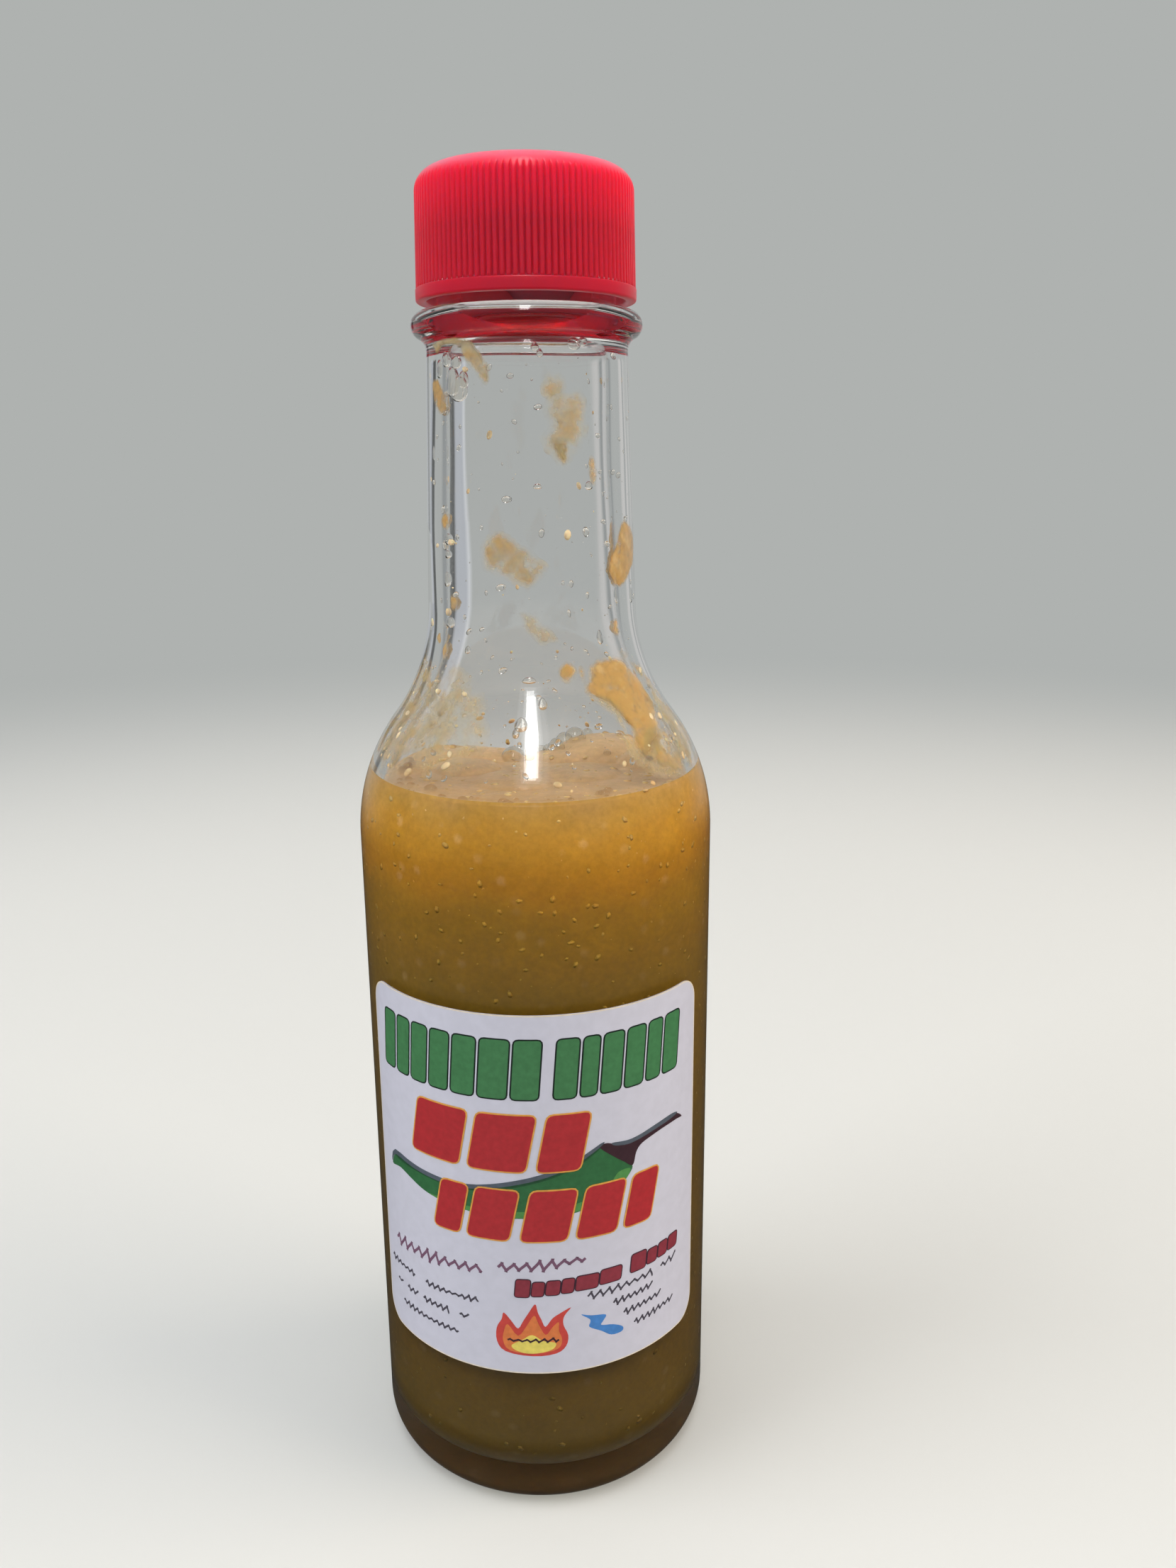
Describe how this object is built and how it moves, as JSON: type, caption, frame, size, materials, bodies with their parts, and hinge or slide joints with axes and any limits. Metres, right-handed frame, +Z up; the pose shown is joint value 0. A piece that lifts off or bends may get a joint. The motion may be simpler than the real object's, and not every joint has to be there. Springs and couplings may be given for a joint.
{
  "type": "hot sauce bottle",
  "caption": "Small clear glass sauce bottle with a long neck, ribbed red screw cap and wrap label, filled to the shoulder with yellow-green pepper sauce.",
  "frame": {"origin": "middle of the base, on the plane the bottle stands on", "axes": "+Z up along the bottle's axis, -Y is the front with the label, +X is to the right seen from the front"},
  "size_m": [0.0462, 0.0464, 0.1688],
  "materials": {
    "clear_glass": "clear colourless pressed and blown soda-lime glass, fire polished",
    "red_cap": "moulded red polypropylene with fine grip ribs, satin sheen",
    "pepper_sauce": "wet golden to olive sauce with pale pulp, seeds and bubbles",
    "film_label": null
  },
  "bodies": {
    "root": {"bottle": "clear_glass", "cap": "red_cap", "sauce": "pepper_sauce", "label": "film_label"}
  },
  "joints": []
}
